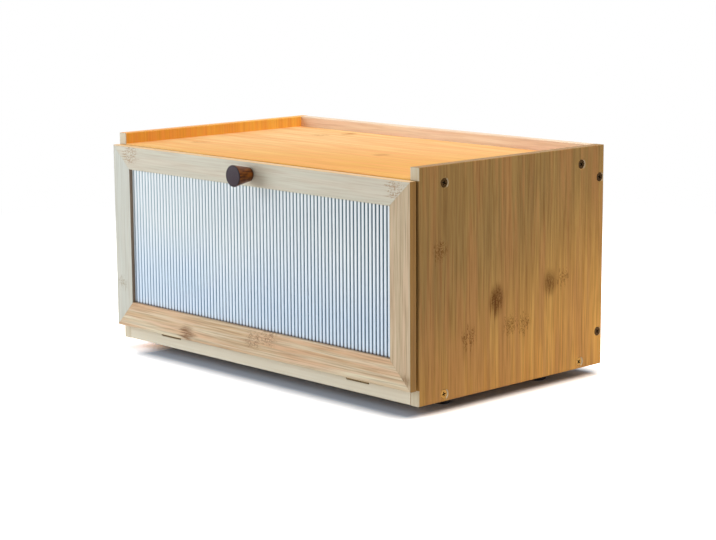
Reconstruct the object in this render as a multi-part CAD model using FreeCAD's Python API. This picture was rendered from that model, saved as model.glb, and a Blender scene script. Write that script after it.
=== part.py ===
import FreeCAD, Part
import os

from FreeCAD import Vector

# Bread box of bamboo board with a drop-down door, in millimetres.
# +Z is up, +X is to the right and the door faces -Y.
# The origin is on the worktop, below the middle of the whole object.

# ---------------------------------------------------------------- driving dimensions

# Carcass
CARCASS_WIDTH = 400.0
CARCASS_DEPTH = 233.0
SIDE_HEIGHT = 198.0
BOARD = 10.0                  # sides, top and back
BASE_BOARD = 12.0             # thicker, because it carries the hinges
GALLERY = 10.0                # sides and back stand this far above the top board
EDGE_ROUND = 0.8              # sanded edges of the boards

# Feet
FOOT_HEIGHT = 10.0
FOOT_DIAMETER = 18.0
FOOT_TAPER = 1.0              # the foot's radius shrinks by this towards the worktop
FOOT_BEVEL = 1.2
FOOT_SIDE_INSET = 28.0        # outer face of the side to the middle of the foot
FOOT_END_INSET = 55.0         # front or back of the carcass to the middle of the foot

# Countersunk wood screws through the sides
SIDE_SCREW_LENGTH = 30.0
SIDE_SCREW_SHANK = 3.8
SIDE_SCREW_HEAD = 7.4
SIDE_SCREW_SINK = 1.0         # the head lies this far below the face
SCREW_END_INSET = 30.0        # from the front and the back, in the top and base boards
BACK_SCREW_LOW = 30.0         # in the back board, above its underside
BACK_SCREW_TOP = 28.5         # in the back board, below its upper edge

# Door
DOOR_THICKNESS = 7.0
DOOR_GAP = 1.6                # between the door's back and the carcass
DOOR_SIDE_REVEAL = 1.2
DOOR_TOP_REVEAL = 0.8         # the door ends this far below the top board's upper face
DOOR_SILL_GAP = 1.6           # the door starts this far above the base board
STILE = 24.4
TOP_RAIL = 21.8
BOTTOM_RAIL = 24.4
DOOR_ROUND = 0.8

# Reeded pane and the groove that holds it
PANE_BASE = 1.6
RIB_PITCH = 4.43
RIB_HEIGHT = 0.5
GROOVE_DEPTH = 5.0
FRONT_LIP = 3.2               # wood in front of the groove
GROOVE_FIT = 0.1              # each face of the pane to the groove
PANE_EDGE_GAP = 0.4           # edge of the pane to the groove's bottom

# Knob
KNOB_LENGTH = 19.3
KNOB_FACE = 19.5
KNOB_NECK = 12.5
KNOB_FACE_BEVEL = 0.7
KNOB_NECK_BEVEL = 1.2
KNOB_SCREW_SHANK = 4.0
KNOB_SCREW_HEAD = 7.6
KNOB_SCREW_BITE = 12.0        # length of screw inside the knob

# Hinges
HINGE_LENGTH = 27.0
HINGE_INSET = 73.0            # outer face of the side to the middle of the hinge
LEAF = 0.8
LEAF_WIDTH = 15.0             # from the hinge axis
LEAF_START = 0.6              # the flat of a leaf begins this far from the axis
PIN = 1.5
KNUCKLES = 3
MORTISE = 2.6                 # depth of the pocket for the leaf in the base board
LEAF_SCREW_SPREAD = 16.0
LEAF_SCREW_REACH = 10.0       # from the hinge axis
LEAF_SCREW_LENGTH = 5.6
LEAF_SCREW_SHANK = 2.2

# Magnetic catch under the top board, and its strike on the door
CATCH_OFFSET = 60.0           # to the right of the knob
CATCH_BODY = (24.0, 13.0, 10.0)
CATCH_EAR = 9.0
CATCH_EAR_THICKNESS = 3.0
CATCH_EAR_BEVEL = 2.0
CATCH_BEVEL = 1.0
CATCH_SETBACK = 1.0           # the housing's face behind the front of the carcass
MAGNET = (16.0, 9.0, 3.6)
POLE = 1.2
STRIKE = (20.0, 12.0, 1.0)
STRIKE_BEVEL = 1.0
STRIKE_SCREW_WALL = 1.5       # wood between the pane's groove and the strike's screw
CATCH_SCREW_LENGTH = 9.0

# Clearances
RUNNING_FIT = 0.05            # pin or screw to its hole, on the radius
MOVING_GAP = 0.3              # door pieces to carcass pieces
POCKET_FIT = 0.1              # pieces pushed into a pocket
PILOT_END = 0.3               # a screw's hole runs on this far past the screw

# How far a cutting shape passes the face that it opens, and how straight an edge is to count
OVERCUT = 10.0
PARALLEL = 0.999

# ---------------------------------------------------------------- derived places

OVERALL_DEPTH = KNOB_LENGTH + DOOR_THICKNESS + DOOR_GAP + CARCASS_DEPTH
BACK = OVERALL_DEPTH / 2
FRONT = BACK - CARCASS_DEPTH
HALF_WIDTH = CARCASS_WIDTH / 2
INNER_HALF = HALF_WIDTH - BOARD
BACK_INNER = BACK - BOARD
BASE = FOOT_HEIGHT
SILL = BASE + BASE_BOARD
RIM = BASE + SIDE_HEIGHT
SHELF = RIM - GALLERY
CEILING = SHELF - BOARD

DOOR_BACK = FRONT - DOOR_GAP
DOOR_FRONT = DOOR_BACK - DOOR_THICKNESS
DOOR_HALF = HALF_WIDTH - DOOR_SIDE_REVEAL
DOOR_LOW = SILL + DOOR_SILL_GAP
DOOR_HIGH = SHELF - DOOR_TOP_REVEAL
WINDOW_HALF = DOOR_HALF - STILE
WINDOW_LOW = DOOR_LOW + BOTTOM_RAIL
WINDOW_HIGH = DOOR_HIGH - TOP_RAIL

PANE_THICKNESS = PANE_BASE + RIB_HEIGHT
GROOVE = PANE_THICKNESS + 2 * GROOVE_FIT
GROOVE_FRONT = DOOR_FRONT + FRONT_LIP
KNOB_HEIGHT = (WINDOW_HIGH + DOOR_HIGH) / 2

LEAF_SCREW_HEAD = LEAF_SCREW_SHANK + 2 * LEAF     # the head fills the leaf's thickness
PIN_HOLE = PIN / 2 + RUNNING_FIT
BARREL = PIN_HOLE + LEAF
LEAF_SEAT = BARREL + MOVING_GAP
AXIS_Y = DOOR_BACK + LEAF_SEAT
AXIS_Z = SILL - MORTISE + LEAF_SEAT
HINGE_X = {"left": -HALF_WIDTH + HINGE_INSET, "right": HALF_WIDTH - HINGE_INSET}

CATCH_Z = CEILING - CATCH_BODY[2] / 2
CATCH_FRONT = FRONT + CATCH_SETBACK
POLE_FRONT = DOOR_BACK + STRIKE[2] + MOVING_GAP
STRIKE_SCREW_Z = WINDOW_HIGH + GROOVE_DEPTH + STRIKE_SCREW_WALL + LEAF_SCREW_SHANK / 2

# Length, shank and head of each kind of screw
SIDE_SCREW = (SIDE_SCREW_LENGTH, SIDE_SCREW_SHANK, SIDE_SCREW_HEAD)
LEAF_SCREW = (LEAF_SCREW_LENGTH, LEAF_SCREW_SHANK, LEAF_SCREW_HEAD)
CATCH_SCREW = (CATCH_SCREW_LENGTH, LEAF_SCREW_SHANK, LEAF_SCREW_HEAD)
KNOB_SCREW = (DOOR_THICKNESS + KNOB_SCREW_BITE, KNOB_SCREW_SHANK, KNOB_SCREW_HEAD)

SIDES = {"left": -1, "right": 1}
ALONG_X = Vector(1, 0, 0)
ALONG_Y = Vector(0, 1, 0)
INTO_DOOR = Vector(0, -1, 0)
DOWN = Vector(0, 0, -1)
UP = Vector(0, 0, 1)


# ---------------------------------------------------------------- general helpers

def block(low, high):
    """A box between two corners."""
    size = [b - a for a, b in zip(low, high)]
    return Part.makeBox(*size, Vector(*low))


def centred_block(size, centre):
    """A box of a given size round its centre."""
    low = [c - s / 2 for c, s in zip(centre, size)]
    high = [c + s / 2 for c, s in zip(centre, size)]
    return block(low, high)


def edges_along(shape, axis, test=lambda middle: True):
    """Straight edges parallel to an axis, filtered by where their middle lies."""
    found = []
    for edge in shape.Edges:
        run = edge.Vertexes[-1].Point - edge.Vertexes[0].Point
        middle = edge.CenterOfMass
        if run.Length > 0 and abs(run.dot(axis)) > PARALLEL * run.Length and test(middle):
            found.append(edge)
    return found


def turned(outline, point, direction):
    """A solid of revolution from (radius, distance) points, set on a point along an axis."""
    corners = [Vector(radius, 0, distance) for radius, distance in outline + outline[:1]]
    solid = Part.Face(Part.makePolygon(corners)).revolve(Vector(0, 0, 0), Vector(0, 0, 1), 360)
    solid.Placement = FreeCAD.Placement(point, FreeCAD.Rotation(Vector(0, 0, 1), direction))
    return solid


# ---------------------------------------------------------------- screws

def screw(point, direction, length, shank, head):
    """A countersunk wood screw: the middle of its head's face, and the way it points."""
    r_head = head / 2
    r_shank = shank / 2
    outline = [(0, 0), (r_head, 0), (r_shank, r_head - r_shank), (r_shank, length), (0, length)]
    return turned(outline, point, direction)


def screw_hole(point, direction, length, shank, head, sink=0.0):
    """What is bored away for a screw; sink carries the countersink on to the face."""
    r_hole = shank / 2 + RUNNING_FIT
    r_mouth = head / 2 + sink + RUNNING_FIT
    face = point - direction * sink
    cone = Part.makeCone(r_mouth, r_hole, r_mouth - r_hole, face, direction)
    bore = Part.makeCylinder(r_hole, length + sink + PILOT_END, face, direction)
    return cone.fuse(bore)


def side_screw_places(sign):
    """Heads of the six screws in one side, and the way they point."""
    x = sign * (HALF_WIDTH - SIDE_SCREW_SINK)
    inwards = Vector(-sign, 0, 0)
    places = []
    for z in (BASE + BASE_BOARD / 2, SHELF - BOARD / 2):
        for y in (FRONT + SCREW_END_INSET, BACK - SCREW_END_INSET):
            places.append((Vector(x, y, z), inwards))
    for z in (BASE + BACK_SCREW_LOW, RIM - BACK_SCREW_TOP):
        places.append((Vector(x, BACK - BOARD / 2, z), inwards))
    return places


def side_screws(sign):
    return [screw(*place, *SIDE_SCREW) for place in side_screw_places(sign)]


def side_screw_holes(sign):
    return [screw_hole(*place, *SIDE_SCREW, SIDE_SCREW_SINK) for place in side_screw_places(sign)]


def all_side_screw_holes():
    return side_screw_holes(-1) + side_screw_holes(1)


# ---------------------------------------------------------------- carcass

def side_panel(sign):
    """A side board, its two faces sanded round along their rims, with six countersunk holes."""
    inner, outer = sorted((sign * INNER_HALF, sign * HALF_WIDTH))
    board = block((inner, FRONT, BASE), (outer, BACK, RIM))
    rims = edges_along(board, ALONG_Y) + edges_along(board, UP)
    return board.makeFillet(EDGE_ROUND, rims).cut(side_screw_holes(sign))


def board_between(low, high, eased_at):
    """A board fitted between the sides, eased only where its edges show."""
    board = block((-INNER_HALF, *low), (INNER_HALF, *high))
    edges = edges_along(board, ALONG_X, eased_at)
    return board.makeFillet(EDGE_ROUND, edges).cut(all_side_screw_holes())


def top_panel():
    board = board_between((FRONT, CEILING), (BACK_INNER, SHELF), lambda middle: middle.y < 0)
    return board.cut(catch_screw_holes())


def back_panel():
    return board_between((BACK_INNER, BASE), (BACK, RIM), lambda middle: True)


def bottom_panel():
    board = board_between((FRONT, BASE), (BACK_INNER, SILL), lambda middle: middle.y < 0)
    for x in HINGE_X.values():
        board = board.cut(hinge_mortise(x)).cut(fixed_leaf_screw_holes(x))
    return board


def foot(x, y):
    """A tapered rubber foot, bevelled round its lower rim, glued under the carcass."""
    r_top = FOOT_DIAMETER / 2
    r_low = r_top - FOOT_TAPER
    outline = [(0, 0), (r_low - FOOT_BEVEL, 0), (r_low, FOOT_BEVEL), (r_top, FOOT_HEIGHT), (0, FOOT_HEIGHT)]
    return turned(outline, Vector(x, y, 0), UP)


def feet(y):
    """The two feet of one row."""
    return [foot(sign * (HALF_WIDTH - FOOT_SIDE_INSET), y) for sign in SIDES.values()]


# ---------------------------------------------------------------- hinges

def knuckle_spans(x):
    """Start and end along X of each knuckle, from left to right."""
    length = (HINGE_LENGTH - (KNUCKLES - 1) * MOVING_GAP) / KNUCKLES
    first = x - HINGE_LENGTH / 2
    starts = [first + n * (length + MOVING_GAP) for n in range(KNUCKLES)]
    return [(start, start + length) for start in starts]


def barrel(start, end, radius):
    """A cylinder round the hinge axis between two places along X."""
    return Part.makeCylinder(radius, end - start, Vector(start, AXIS_Y, AXIS_Z), ALONG_X)


def rolled_leaf(x, flat, own_first, holes):
    """A flat leaf with every second knuckle of the barrel rolled from it."""
    spans = knuckle_spans(x)
    for start, end in spans[1 - own_first::2]:
        flat = flat.cut(barrel(start - MOVING_GAP, end + MOVING_GAP, LEAF_SEAT))
    knuckles = [barrel(start, end, BARREL) for start, end in spans[own_first::2]]
    leaf = flat.fuse(knuckles).removeSplitter()
    bore = barrel(x - HINGE_LENGTH, x + HINGE_LENGTH, PIN_HOLE)
    return leaf.cut([bore] + holes)


def fixed_leaf(x):
    """The leaf that lies in the base board's mortise, with the outer knuckles."""
    low = (x - HINGE_LENGTH / 2, AXIS_Y + LEAF_START, AXIS_Z - LEAF_SEAT)
    high = (x + HINGE_LENGTH / 2, AXIS_Y + LEAF_WIDTH, AXIS_Z - LEAF_SEAT + LEAF)
    return rolled_leaf(x, block(low, high), 0, fixed_leaf_screw_holes(x))


def moving_leaf(x):
    """The leaf that stands against the back of the door, with the inner knuckles."""
    low = (x - HINGE_LENGTH / 2, AXIS_Y - LEAF_SEAT, AXIS_Z + LEAF_START)
    high = (x + HINGE_LENGTH / 2, AXIS_Y - LEAF_SEAT + LEAF, AXIS_Z + LEAF_WIDTH)
    return rolled_leaf(x, block(low, high), 1, moving_leaf_screw_holes(x))


def hinge_pin(x):
    return barrel(x - HINGE_LENGTH / 2, x + HINGE_LENGTH / 2, PIN / 2)


def hinge_mortise(x):
    """The pocket in the base board, open at the front, for the leaf and the barrel."""
    low = (x - HINGE_LENGTH / 2 - MOVING_GAP, FRONT - OVERCUT, AXIS_Z - LEAF_SEAT)
    high = (x + HINGE_LENGTH / 2 + MOVING_GAP, AXIS_Y + LEAF_WIDTH + MOVING_GAP, SILL + OVERCUT)
    return block(low, high)


def leaf_screw_xs(x):
    return (x - LEAF_SCREW_SPREAD / 2, x + LEAF_SCREW_SPREAD / 2)


def fixed_leaf_screw_places(x):
    y = AXIS_Y + LEAF_SCREW_REACH
    z = AXIS_Z - LEAF_SEAT + LEAF
    return [(Vector(sx, y, z), DOWN) for sx in leaf_screw_xs(x)]


def moving_leaf_screw_places(x):
    y = AXIS_Y - LEAF_SEAT + LEAF
    z = AXIS_Z + LEAF_SCREW_REACH
    return [(Vector(sx, y, z), INTO_DOOR) for sx in leaf_screw_xs(x)]


def fixed_leaf_screw_holes(x):
    return [screw_hole(*place, *LEAF_SCREW) for place in fixed_leaf_screw_places(x)]


def moving_leaf_screw_holes(x):
    return [screw_hole(*place, *LEAF_SCREW) for place in moving_leaf_screw_places(x)]


def leaf_screws(places_of):
    """Two screws in each hinge, for one of its leaves."""
    places = [place for x in HINGE_X.values() for place in places_of(x)]
    return [screw(*place, *LEAF_SCREW) for place in places]


# ---------------------------------------------------------------- door

def frame_bar(low, high, axis, groove, outline):
    """A grooved bar of the door frame, cut to its mitred outline (X, Z points)."""
    bar = block((low[0], DOOR_FRONT, low[1]), (high[0], DOOR_BACK, high[1]))
    bar = bar.makeFillet(DOOR_ROUND, edges_along(bar, axis))
    bar = bar.cut(groove)
    points = [Vector(x, DOOR_FRONT - OVERCUT, z) for x, z in outline + outline[:1]]
    mitred = Part.Face(Part.makePolygon(points)).extrude(ALONG_Y * (DOOR_THICKNESS + 2 * OVERCUT))
    return bar.common(mitred)


def groove_ring():
    """The channel that runs round the inside of the frame."""
    return block((-WINDOW_HALF - GROOVE_DEPTH, GROOVE_FRONT, WINDOW_LOW - GROOVE_DEPTH),
                 (WINDOW_HALF + GROOVE_DEPTH, GROOVE_FRONT + GROOVE, WINDOW_HIGH + GROOVE_DEPTH))


def top_rail():
    outline = [(-DOOR_HALF, DOOR_HIGH), (DOOR_HALF, DOOR_HIGH),
               (WINDOW_HALF, WINDOW_HIGH), (-WINDOW_HALF, WINDOW_HIGH)]
    bar = frame_bar((-DOOR_HALF, WINDOW_HIGH), (DOOR_HALF, DOOR_HIGH),
                    ALONG_X, groove_ring(), outline)
    return bar.cut([knob_screw_hole(), strike_screw_hole()])


def bottom_rail():
    outline = [(-DOOR_HALF, DOOR_LOW), (DOOR_HALF, DOOR_LOW),
               (WINDOW_HALF, WINDOW_LOW), (-WINDOW_HALF, WINDOW_LOW)]
    bar = frame_bar((-DOOR_HALF, DOOR_LOW), (DOOR_HALF, WINDOW_LOW),
                    ALONG_X, groove_ring(), outline)
    for x in HINGE_X.values():
        bar = bar.cut(moving_leaf_screw_holes(x))
    return bar


def stile(sign):
    outer = sign * DOOR_HALF
    inner = sign * WINDOW_HALF
    outline = [(outer, DOOR_LOW), (outer, DOOR_HIGH), (inner, WINDOW_HIGH), (inner, WINDOW_LOW)]
    xs = sorted((outer, inner))
    return frame_bar((xs[0], DOOR_LOW), (xs[1], DOOR_HIGH), UP, groove_ring(), outline)


def pane():
    """Clear sheet with round ribs side by side on its outer face."""
    half = WINDOW_HALF + GROOVE_DEPTH - PANE_EDGE_GAP
    low = WINDOW_LOW - GROOVE_DEPTH
    high = WINDOW_HIGH + GROOVE_DEPTH - PANE_EDGE_GAP
    back = GROOVE_FRONT + GROOVE - GROOVE_FIT
    face = back - PANE_BASE
    crest = face - RIB_HEIGHT
    count = int(2 * half / RIB_PITCH)
    first = -count * RIB_PITCH / 2

    def corner(x, y):
        return Vector(x, y, low)

    edges = []
    for n in range(count):
        left = first + n * RIB_PITCH
        right = left + RIB_PITCH
        arc = Part.Arc(corner(left, face), corner((left + right) / 2, crest), corner(right, face))
        edges.append(arc.toShape())
    around = [(-first, face), (half, face), (half, back), (-half, back), (-half, face), (first, face)]
    for start, end in zip(around, around[1:]):
        edges.append(Part.LineSegment(corner(*start), corner(*end)).toShape())
    section = Part.Face(Part.Wire(edges))
    return section.extrude(Vector(0, 0, high - low))


def knob_screw_place():
    return Vector(0, DOOR_BACK, KNOB_HEIGHT), INTO_DOOR


def knob_screw_hole():
    return screw_hole(*knob_screw_place(), *KNOB_SCREW)


def knob():
    """A turned knob that widens from its neck on the door to a flat face, bevelled at both ends."""
    neck = KNOB_NECK / 2
    face = KNOB_FACE / 2
    slope = (face - neck) / KNOB_LENGTH
    outline = [
        (0, 0),
        (neck - KNOB_NECK_BEVEL, 0),
        (neck + slope * KNOB_NECK_BEVEL, KNOB_NECK_BEVEL),
        (face - slope * KNOB_FACE_BEVEL, KNOB_LENGTH - KNOB_FACE_BEVEL),
        (face - KNOB_FACE_BEVEL, KNOB_LENGTH),
        (0, KNOB_LENGTH),
    ]
    return turned(outline, Vector(0, DOOR_FRONT, KNOB_HEIGHT), INTO_DOOR).cut(knob_screw_hole())


# ---------------------------------------------------------------- catch and strike

def catch_screw_places():
    reach = CATCH_BODY[0] / 2 + CATCH_EAR / 2
    y = CATCH_FRONT + CATCH_BODY[1] / 2
    z = CEILING - CATCH_EAR_THICKNESS
    return [(Vector(CATCH_OFFSET + dx, y, z), UP) for dx in (-reach, reach)]


def catch_screw_holes():
    return [screw_hole(*place, *CATCH_SCREW) for place in catch_screw_places()]


def catch_stack():
    """Outer size of the magnet with its two pole plates."""
    return (MAGNET[0], MAGNET[1], MAGNET[2] + 2 * POLE)


def catch_housing():
    """A plastic block with an ear on each side and a pocket for the magnet."""
    width, depth, height = CATCH_BODY
    body = block((CATCH_OFFSET - width / 2, CATCH_FRONT, CEILING - height),
                 (CATCH_OFFSET + width / 2, CATCH_FRONT + depth, CEILING))
    low_edges = edges_along(body, ALONG_Y, lambda middle: middle.z < CATCH_Z)
    body = body.makeChamfer(CATCH_BEVEL, low_edges)
    reach = width / 2 + CATCH_EAR
    ears = block((CATCH_OFFSET - reach, CATCH_FRONT, CEILING - CATCH_EAR_THICKNESS),
                 (CATCH_OFFSET + reach, CATCH_FRONT + depth, CEILING))
    ears = ears.makeChamfer(CATCH_EAR_BEVEL, edges_along(ears, UP))
    stack = catch_stack()
    pocket = centred_block((stack[0] + 2 * POCKET_FIT, 2 * (MAGNET[1] + POCKET_FIT + CATCH_SETBACK),
                            stack[2] + 2 * POCKET_FIT), (CATCH_OFFSET, POLE_FRONT, CATCH_Z))
    return body.fuse(ears).removeSplitter().cut([pocket] + catch_screw_holes())


def catch_pole_plates():
    """Two steel plates that carry the magnet's pull to the strike."""
    plates = []
    for sign in (-1, 1):
        z = CATCH_Z + sign * (MAGNET[2] + POLE) / 2
        depth = MAGNET[1] + CATCH_SETBACK
        centre = (CATCH_OFFSET, POLE_FRONT + depth / 2, z)
        plates.append(centred_block((MAGNET[0], depth, POLE), centre))
    return plates


def catch_magnet():
    centre = (CATCH_OFFSET, POLE_FRONT + CATCH_SETBACK + MAGNET[1] / 2, CATCH_Z)
    return centred_block(MAGNET, centre)


def strike_screw_place():
    return Vector(CATCH_OFFSET, DOOR_BACK + STRIKE[2], STRIKE_SCREW_Z), INTO_DOOR


def strike_screw_hole():
    return screw_hole(*strike_screw_place(), *LEAF_SCREW)


def strike_plate():
    """The steel plate on the back of the door that the catch holds."""
    plate = centred_block((STRIKE[0], STRIKE[2], STRIKE[1]),
                          (CATCH_OFFSET, DOOR_BACK + STRIKE[2] / 2, CATCH_Z))
    plate = plate.makeChamfer(STRIKE_BEVEL, edges_along(plate, ALONG_Y))
    return plate.cut(strike_screw_hole())


# ---------------------------------------------------------------- assembly

def build():
    """Every piece of the box by name; identical fasteners share a name."""
    parts = {
        "front_feet": feet(FRONT + FOOT_END_INSET),
        "rear_feet": feet(BACK - FOOT_END_INSET),
        "top_panel": top_panel(),
        "bottom_panel": bottom_panel(),
        "back_panel": back_panel(),
        "door_top_rail": top_rail(),
        "door_bottom_rail": bottom_rail(),
        "fluted_window_pane": pane(),
        "knob": knob(),
        "knob_screw": screw(*knob_screw_place(), *KNOB_SCREW),
        "fixed_leaf_screws": leaf_screws(fixed_leaf_screw_places),
        "moving_leaf_screws": leaf_screws(moving_leaf_screw_places),
        "catch_housing": catch_housing(),
        "catch_pole_plates": catch_pole_plates(),
        "catch_magnet": catch_magnet(),
        "catch_screws": [screw(*place, *CATCH_SCREW) for place in catch_screw_places()],
        "strike_plate": strike_plate(),
        "strike_screw": screw(*strike_screw_place(), *LEAF_SCREW),
    }
    for side, sign in SIDES.items():
        parts[f"{side}_side_panel"] = side_panel(sign)
        parts[f"{side}_side_screws"] = side_screws(sign)
        parts[f"door_{side}_stile"] = stile(sign)
        parts[f"{side}_hinge_fixed_leaf"] = fixed_leaf(HINGE_X[side])
        parts[f"{side}_hinge_moving_leaf"] = moving_leaf(HINGE_X[side])
        parts[f"{side}_hinge_pin"] = hinge_pin(HINGE_X[side])
    return parts


def export(parts):
    """Writes one STEP file for each piece and prints what it holds."""
    os.makedirs("parts", exist_ok=True)
    for name, shape in parts.items():
        piece = Part.makeCompound(shape) if isinstance(shape, list) else shape
        piece.exportStep(f"parts/{name}.step")
        box = piece.BoundBox
        print(f"{name}: {len(piece.Solids)} solids, valid {piece.isValid()}, {piece.Volume:.1f} mm3")
        print(f"    x {box.XMin:.2f} to {box.XMax:.2f}, y {box.YMin:.2f} to {box.YMax:.2f},"
              f" z {box.ZMin:.2f} to {box.ZMax:.2f}")


export(build())
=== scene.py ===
# %% [markdown]
# # A bamboo bread box with a reeded window
#
# The box is joinery: boards glued up from bamboo strips, a mitred door frame with a ribbed clear
# pane, two small butt hinges, a turned knob and countersunk screws. The joinery itself is already
# modelled to size and is loaded here as a frame that must not move. What is left for this lesson
# is the finish of every surface, and the small pieces that need finer shapes than joinery has.

# %% Loading the frame
import math
import random

import bmesh
import bpy
from mathutils import Matrix, Vector


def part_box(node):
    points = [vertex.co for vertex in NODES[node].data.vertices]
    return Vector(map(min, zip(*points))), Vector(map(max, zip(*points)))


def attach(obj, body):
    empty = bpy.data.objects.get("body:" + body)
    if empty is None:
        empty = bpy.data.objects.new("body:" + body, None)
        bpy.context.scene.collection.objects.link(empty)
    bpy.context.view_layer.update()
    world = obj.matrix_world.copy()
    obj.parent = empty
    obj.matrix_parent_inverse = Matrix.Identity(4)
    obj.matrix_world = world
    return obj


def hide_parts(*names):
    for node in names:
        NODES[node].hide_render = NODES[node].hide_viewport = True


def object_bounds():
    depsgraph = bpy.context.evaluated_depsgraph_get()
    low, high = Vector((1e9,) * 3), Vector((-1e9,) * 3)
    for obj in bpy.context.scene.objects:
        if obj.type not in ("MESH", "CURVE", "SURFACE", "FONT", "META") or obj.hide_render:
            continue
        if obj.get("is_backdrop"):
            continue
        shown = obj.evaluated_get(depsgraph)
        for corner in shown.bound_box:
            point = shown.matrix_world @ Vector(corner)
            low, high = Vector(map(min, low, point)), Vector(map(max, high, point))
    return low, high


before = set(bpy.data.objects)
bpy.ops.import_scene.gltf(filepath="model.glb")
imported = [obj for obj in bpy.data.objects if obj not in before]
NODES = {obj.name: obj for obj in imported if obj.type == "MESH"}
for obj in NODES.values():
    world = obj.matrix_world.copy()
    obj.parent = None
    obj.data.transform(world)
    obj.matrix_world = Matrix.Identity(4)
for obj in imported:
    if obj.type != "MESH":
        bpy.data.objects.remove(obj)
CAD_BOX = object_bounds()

MM = 0.001
print("nodes loaded:", len(NODES))

# %% [markdown]
# ## Colours and nodes
#
# Colours are given as sRGB hex values, but a renderer adds light up in linear values, so
# one function turns the first into the second. Every material below is a small graph of nodes,
# and one function adds a node, sets its properties and wires its inputs.

# %% Colour and node helpers
def linear(hex_colour):
    """An sRGB colour such as "#E1AB65" as the linear RGBA that a node expects."""
    channels = [int(hex_colour[i:i + 2], 16) / 255 for i in (1, 3, 5)]
    return [c / 12.92 if c <= 0.04045 else ((c + 0.055) / 1.055) ** 2.4 for c in channels] + [1.0]


def add(tree, kind, inputs=None, **settings):
    """Adds a node; each input is a value, or another node's output to link."""
    made = tree.nodes.new("ShaderNode" + kind)
    for name, value in settings.items():
        setattr(made, name, value)
    for key, value in (inputs or {}).items():
        if isinstance(value, bpy.types.NodeSocket):
            tree.links.new(value, made.inputs[key])
        else:
            made.inputs[key].default_value = value
    return made


def new_material(name):
    """An empty material and its output node."""
    material = bpy.data.materials.new(name)
    material.use_nodes = True
    material.node_tree.nodes.clear()
    return material, material.node_tree, add(material.node_tree, "OutputMaterial")


def paint(node_name, material):
    """Gives a node of the frame its finish."""
    mesh = NODES[node_name].data
    mesh.materials.clear()
    mesh.materials.append(material)


print("middle grey is", round(linear("#808080")[0], 3), "in linear light")

# %% [markdown]
# ## Laminated bamboo
#
# A bamboo culm is split, planed into strips about 17 mm wide and glued side by side into a board.
# That gives the eye four things: each strip has its own tone, its fibres are fine dark lines along
# it, the colour drifts between rosy and olive, and every so often a strip shows the scar of a culm
# node, a smoky patch with a scribble of dark lines in it. The board is then sanded, its edges are
# eased a little, and it is sprayed with a thin satin lacquer.
#
# An image texture would need unwrapping, and would not run on round an edge as the fibres do. So
# the pattern is worked out in space, from the board's own coordinates: one axis runs along the
# grain, one across the strips, and one through the thickness.

# %% Bamboo: sizes of the pattern
STRIP_WIDTH = 17.2 * MM
GLUE_LINE = 0.5 * MM        # a real glue line is about 0.1 mm; drawn wider so that it shows
FIBRE_WIDTH = 1.25 * MM     # real fibres are about 0.4 mm; drawn coarser so that they show
FIBRE_LENGTH = 44 * MM
STREAK_WIDTH = 3.4 * MM     # soft darker and lighter bands of many fibres
STREAK_LENGTH = 120 * MM
HUE_WIDTH = 7 * MM
HUE_LENGTH = 100 * MM
STRIP_CONTRAST = 0.15       # strips lie up to this far to either side of the middle tone
STREAK_CONTRAST = 0.4       # and the bands within a strip up to this far
FIBRE_DARK = 0.42           # how much of the scars' brown the fibres take on
GLUE_DARK = 0.14            # and the glue lines
FIBRE_ROUGH = 0.07          # how much rougher the fibres are than the middle
FIBRE_DENT = 0.1 * MM       # and how much lower they lie
STRIP_APART = 40.0          # each strip reads the noise at a place of its own, up to this far off
EASED_EDGE = 0.6 * MM

AXES = {"x": 0, "y": 1, "z": 2}
print(f"strips {STRIP_WIDTH / MM:.1f} mm wide, fibres drawn {FIBRE_WIDTH / MM:.2f} mm wide")


# %% Bamboo: coordinates along and across the grain
def grain_frame(tree, grain, across, shift):
    """Sockets for the distances along the grain, across the strips and through the board."""
    parts = add(tree, "SeparateXYZ", {0: add(tree, "TexCoord").outputs["Object"]}).outputs
    through = ({"x", "y", "z"} - {grain, across}).pop()
    shifted = add(tree, "Math", {0: parts[AXES[across]], 1: shift}, operation="SUBTRACT").outputs[0]
    return parts[AXES[grain]], shifted, parts[AXES[through]]


def strip_numbers(tree, across, seed):
    """A point's place in its strip, from 0 to 1, and random numbers for the strip."""
    count = add(tree, "Math", {0: across, 1: STRIP_WIDTH}, operation="DIVIDE").outputs[0]
    index = add(tree, "Math", {0: count}, operation="FLOOR").outputs[0]
    seeded = add(tree, "Math", {0: index, 1: float(seed)}, operation="ADD").outputs[0]
    noise = add(tree, "TexWhiteNoise", {"W": seeded}, noise_dimensions="1D")
    share = add(tree, "Math", {0: count}, operation="FRACT").outputs[0]
    return share, noise


def drawn_noise(tree, place, length, width, detail, shift, twist=0.0):
    """Noise drawn out along the grain: its features are about this long and this wide."""
    scaled = add(tree, "VectorMath", {0: place, 1: (1 / length, 1 / width, 1 / width)},
                 operation="MULTIPLY").outputs[0]
    moved = add(tree, "VectorMath", {0: scaled, 1: shift}, operation="ADD").outputs[0]
    return add(tree, "TexNoise", {"Vector": moved, "Scale": 1.0, "Detail": detail,
                                  "Roughness": 0.55, "Distortion": twist}).outputs["Fac"]


print(f"fibres drawn about {FIBRE_LENGTH / MM:.0f} mm long, streaks {STREAK_LENGTH / MM:.0f} mm")

# %% [markdown]
# A scar is smoke or scribble, and a strong one is mostly smoke. The smoke is a soft blot as wide as
# its strip, frayed along the fibres by shifting it up and down with a fine noise. The scribble is a
# contour line of a twisted noise, which wanders just as the little vessels do where the culm's wall
# closes.

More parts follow.
